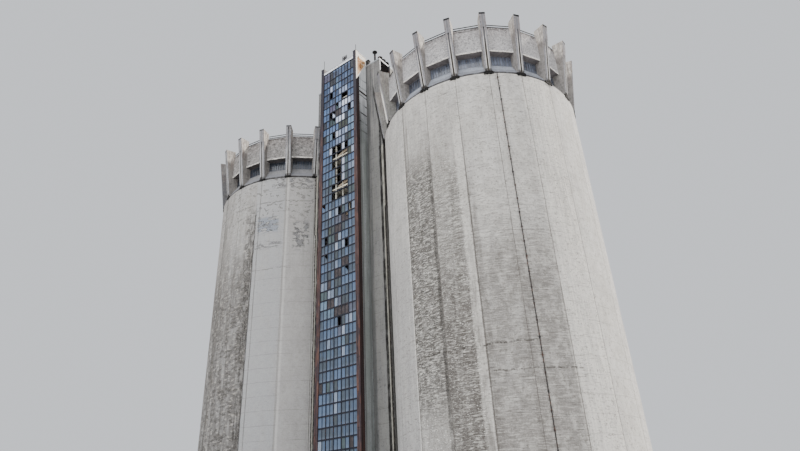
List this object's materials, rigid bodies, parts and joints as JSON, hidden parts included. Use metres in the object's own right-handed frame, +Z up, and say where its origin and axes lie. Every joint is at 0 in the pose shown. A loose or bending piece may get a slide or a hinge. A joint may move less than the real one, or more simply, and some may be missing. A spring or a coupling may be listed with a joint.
{
  "type": "grain elevator, 1:2 scale model",
  "caption": "Two round concrete grain silos with a crown of leaning fins, joined by a concrete head house with a tall glazed stair tower on its front.",
  "frame": {"origin": "ground level midway between the two silos", "axes": "+X along the front from the left silo to the right silo, +Y to the back, +Z up"},
  "size_m": [21.87, 9.87, 24.075],
  "materials": {
    "right_concrete": "weathered slip-formed concrete",
    "left_concrete": "older, patched concrete",
    "wall_concrete": "grey weathered concrete",
    "pane_glass": "dusty blue-grey panes",
    "gallery_glass": "dark strip window glass",
    "rusty_steel": "red-brown paint, rusty",
    "pale_metal": "pale weathered paint",
    "rail_steel": "pale paint",
    "dark_metal": "dark weathered steel"
  },
  "bodies": {
    "root": {"head_back_wall": "wall_concrete", "head_floor": "wall_concrete", "head_front_wall_left": "wall_concrete", "head_front_wall_right": "wall_concrete", "head_roof": "wall_concrete", "head_side_wall_left": "wall_concrete", "head_side_wall_right": "wall_concrete", "left_silo_bin_floor": "left_concrete", "left_silo_crown_back": "left_concrete", "left_silo_crown_inner": "left_concrete", "left_silo_crown_outer": "left_concrete", "left_silo_gallery_floor": "left_concrete", "left_silo_gallery_glass": "gallery_glass", "left_silo_rail": "rail_steel", "left_silo_roof": "left_concrete", "left_silo_wall_back": "left_concrete", "left_silo_wall_front": "left_concrete", "left_silo_wall_left": "left_concrete", "left_silo_wall_right": "left_concrete", "lightning_conductor": "dark_metal", "right_silo_bin_floor": "right_concrete", "right_silo_crown_back": "right_concrete", "right_silo_crown_inner": "right_concrete", "right_silo_crown_outer": "right_concrete", "right_silo_gallery_floor": "right_concrete", "right_silo_gallery_glass": "gallery_glass", "right_silo_rail": "rail_steel", "right_silo_roof": "right_concrete", "right_silo_wall_back": "right_concrete", "right_silo_wall_front": "right_concrete", "right_silo_wall_left": "right_concrete", "right_silo_wall_right": "right_concrete", "roof_antenna": "dark_metal", "roof_vent_tall": "dark_metal", "roof_vents": "dark_metal", "stair_column_left": "rusty_steel", "stair_column_right": "rusty_steel", "stair_glazing_bottom": "pane_glass", "stair_glazing_middle": "pane_glass", "stair_glazing_top": "pane_glass", "stair_landings": "wall_concrete", "stair_return_wall_left": "wall_concrete", "stair_return_wall_right": "wall_concrete", "stair_roof": "pale_metal", "stair_roof_rail": "pale_metal"}
  },
  "joints": []
}
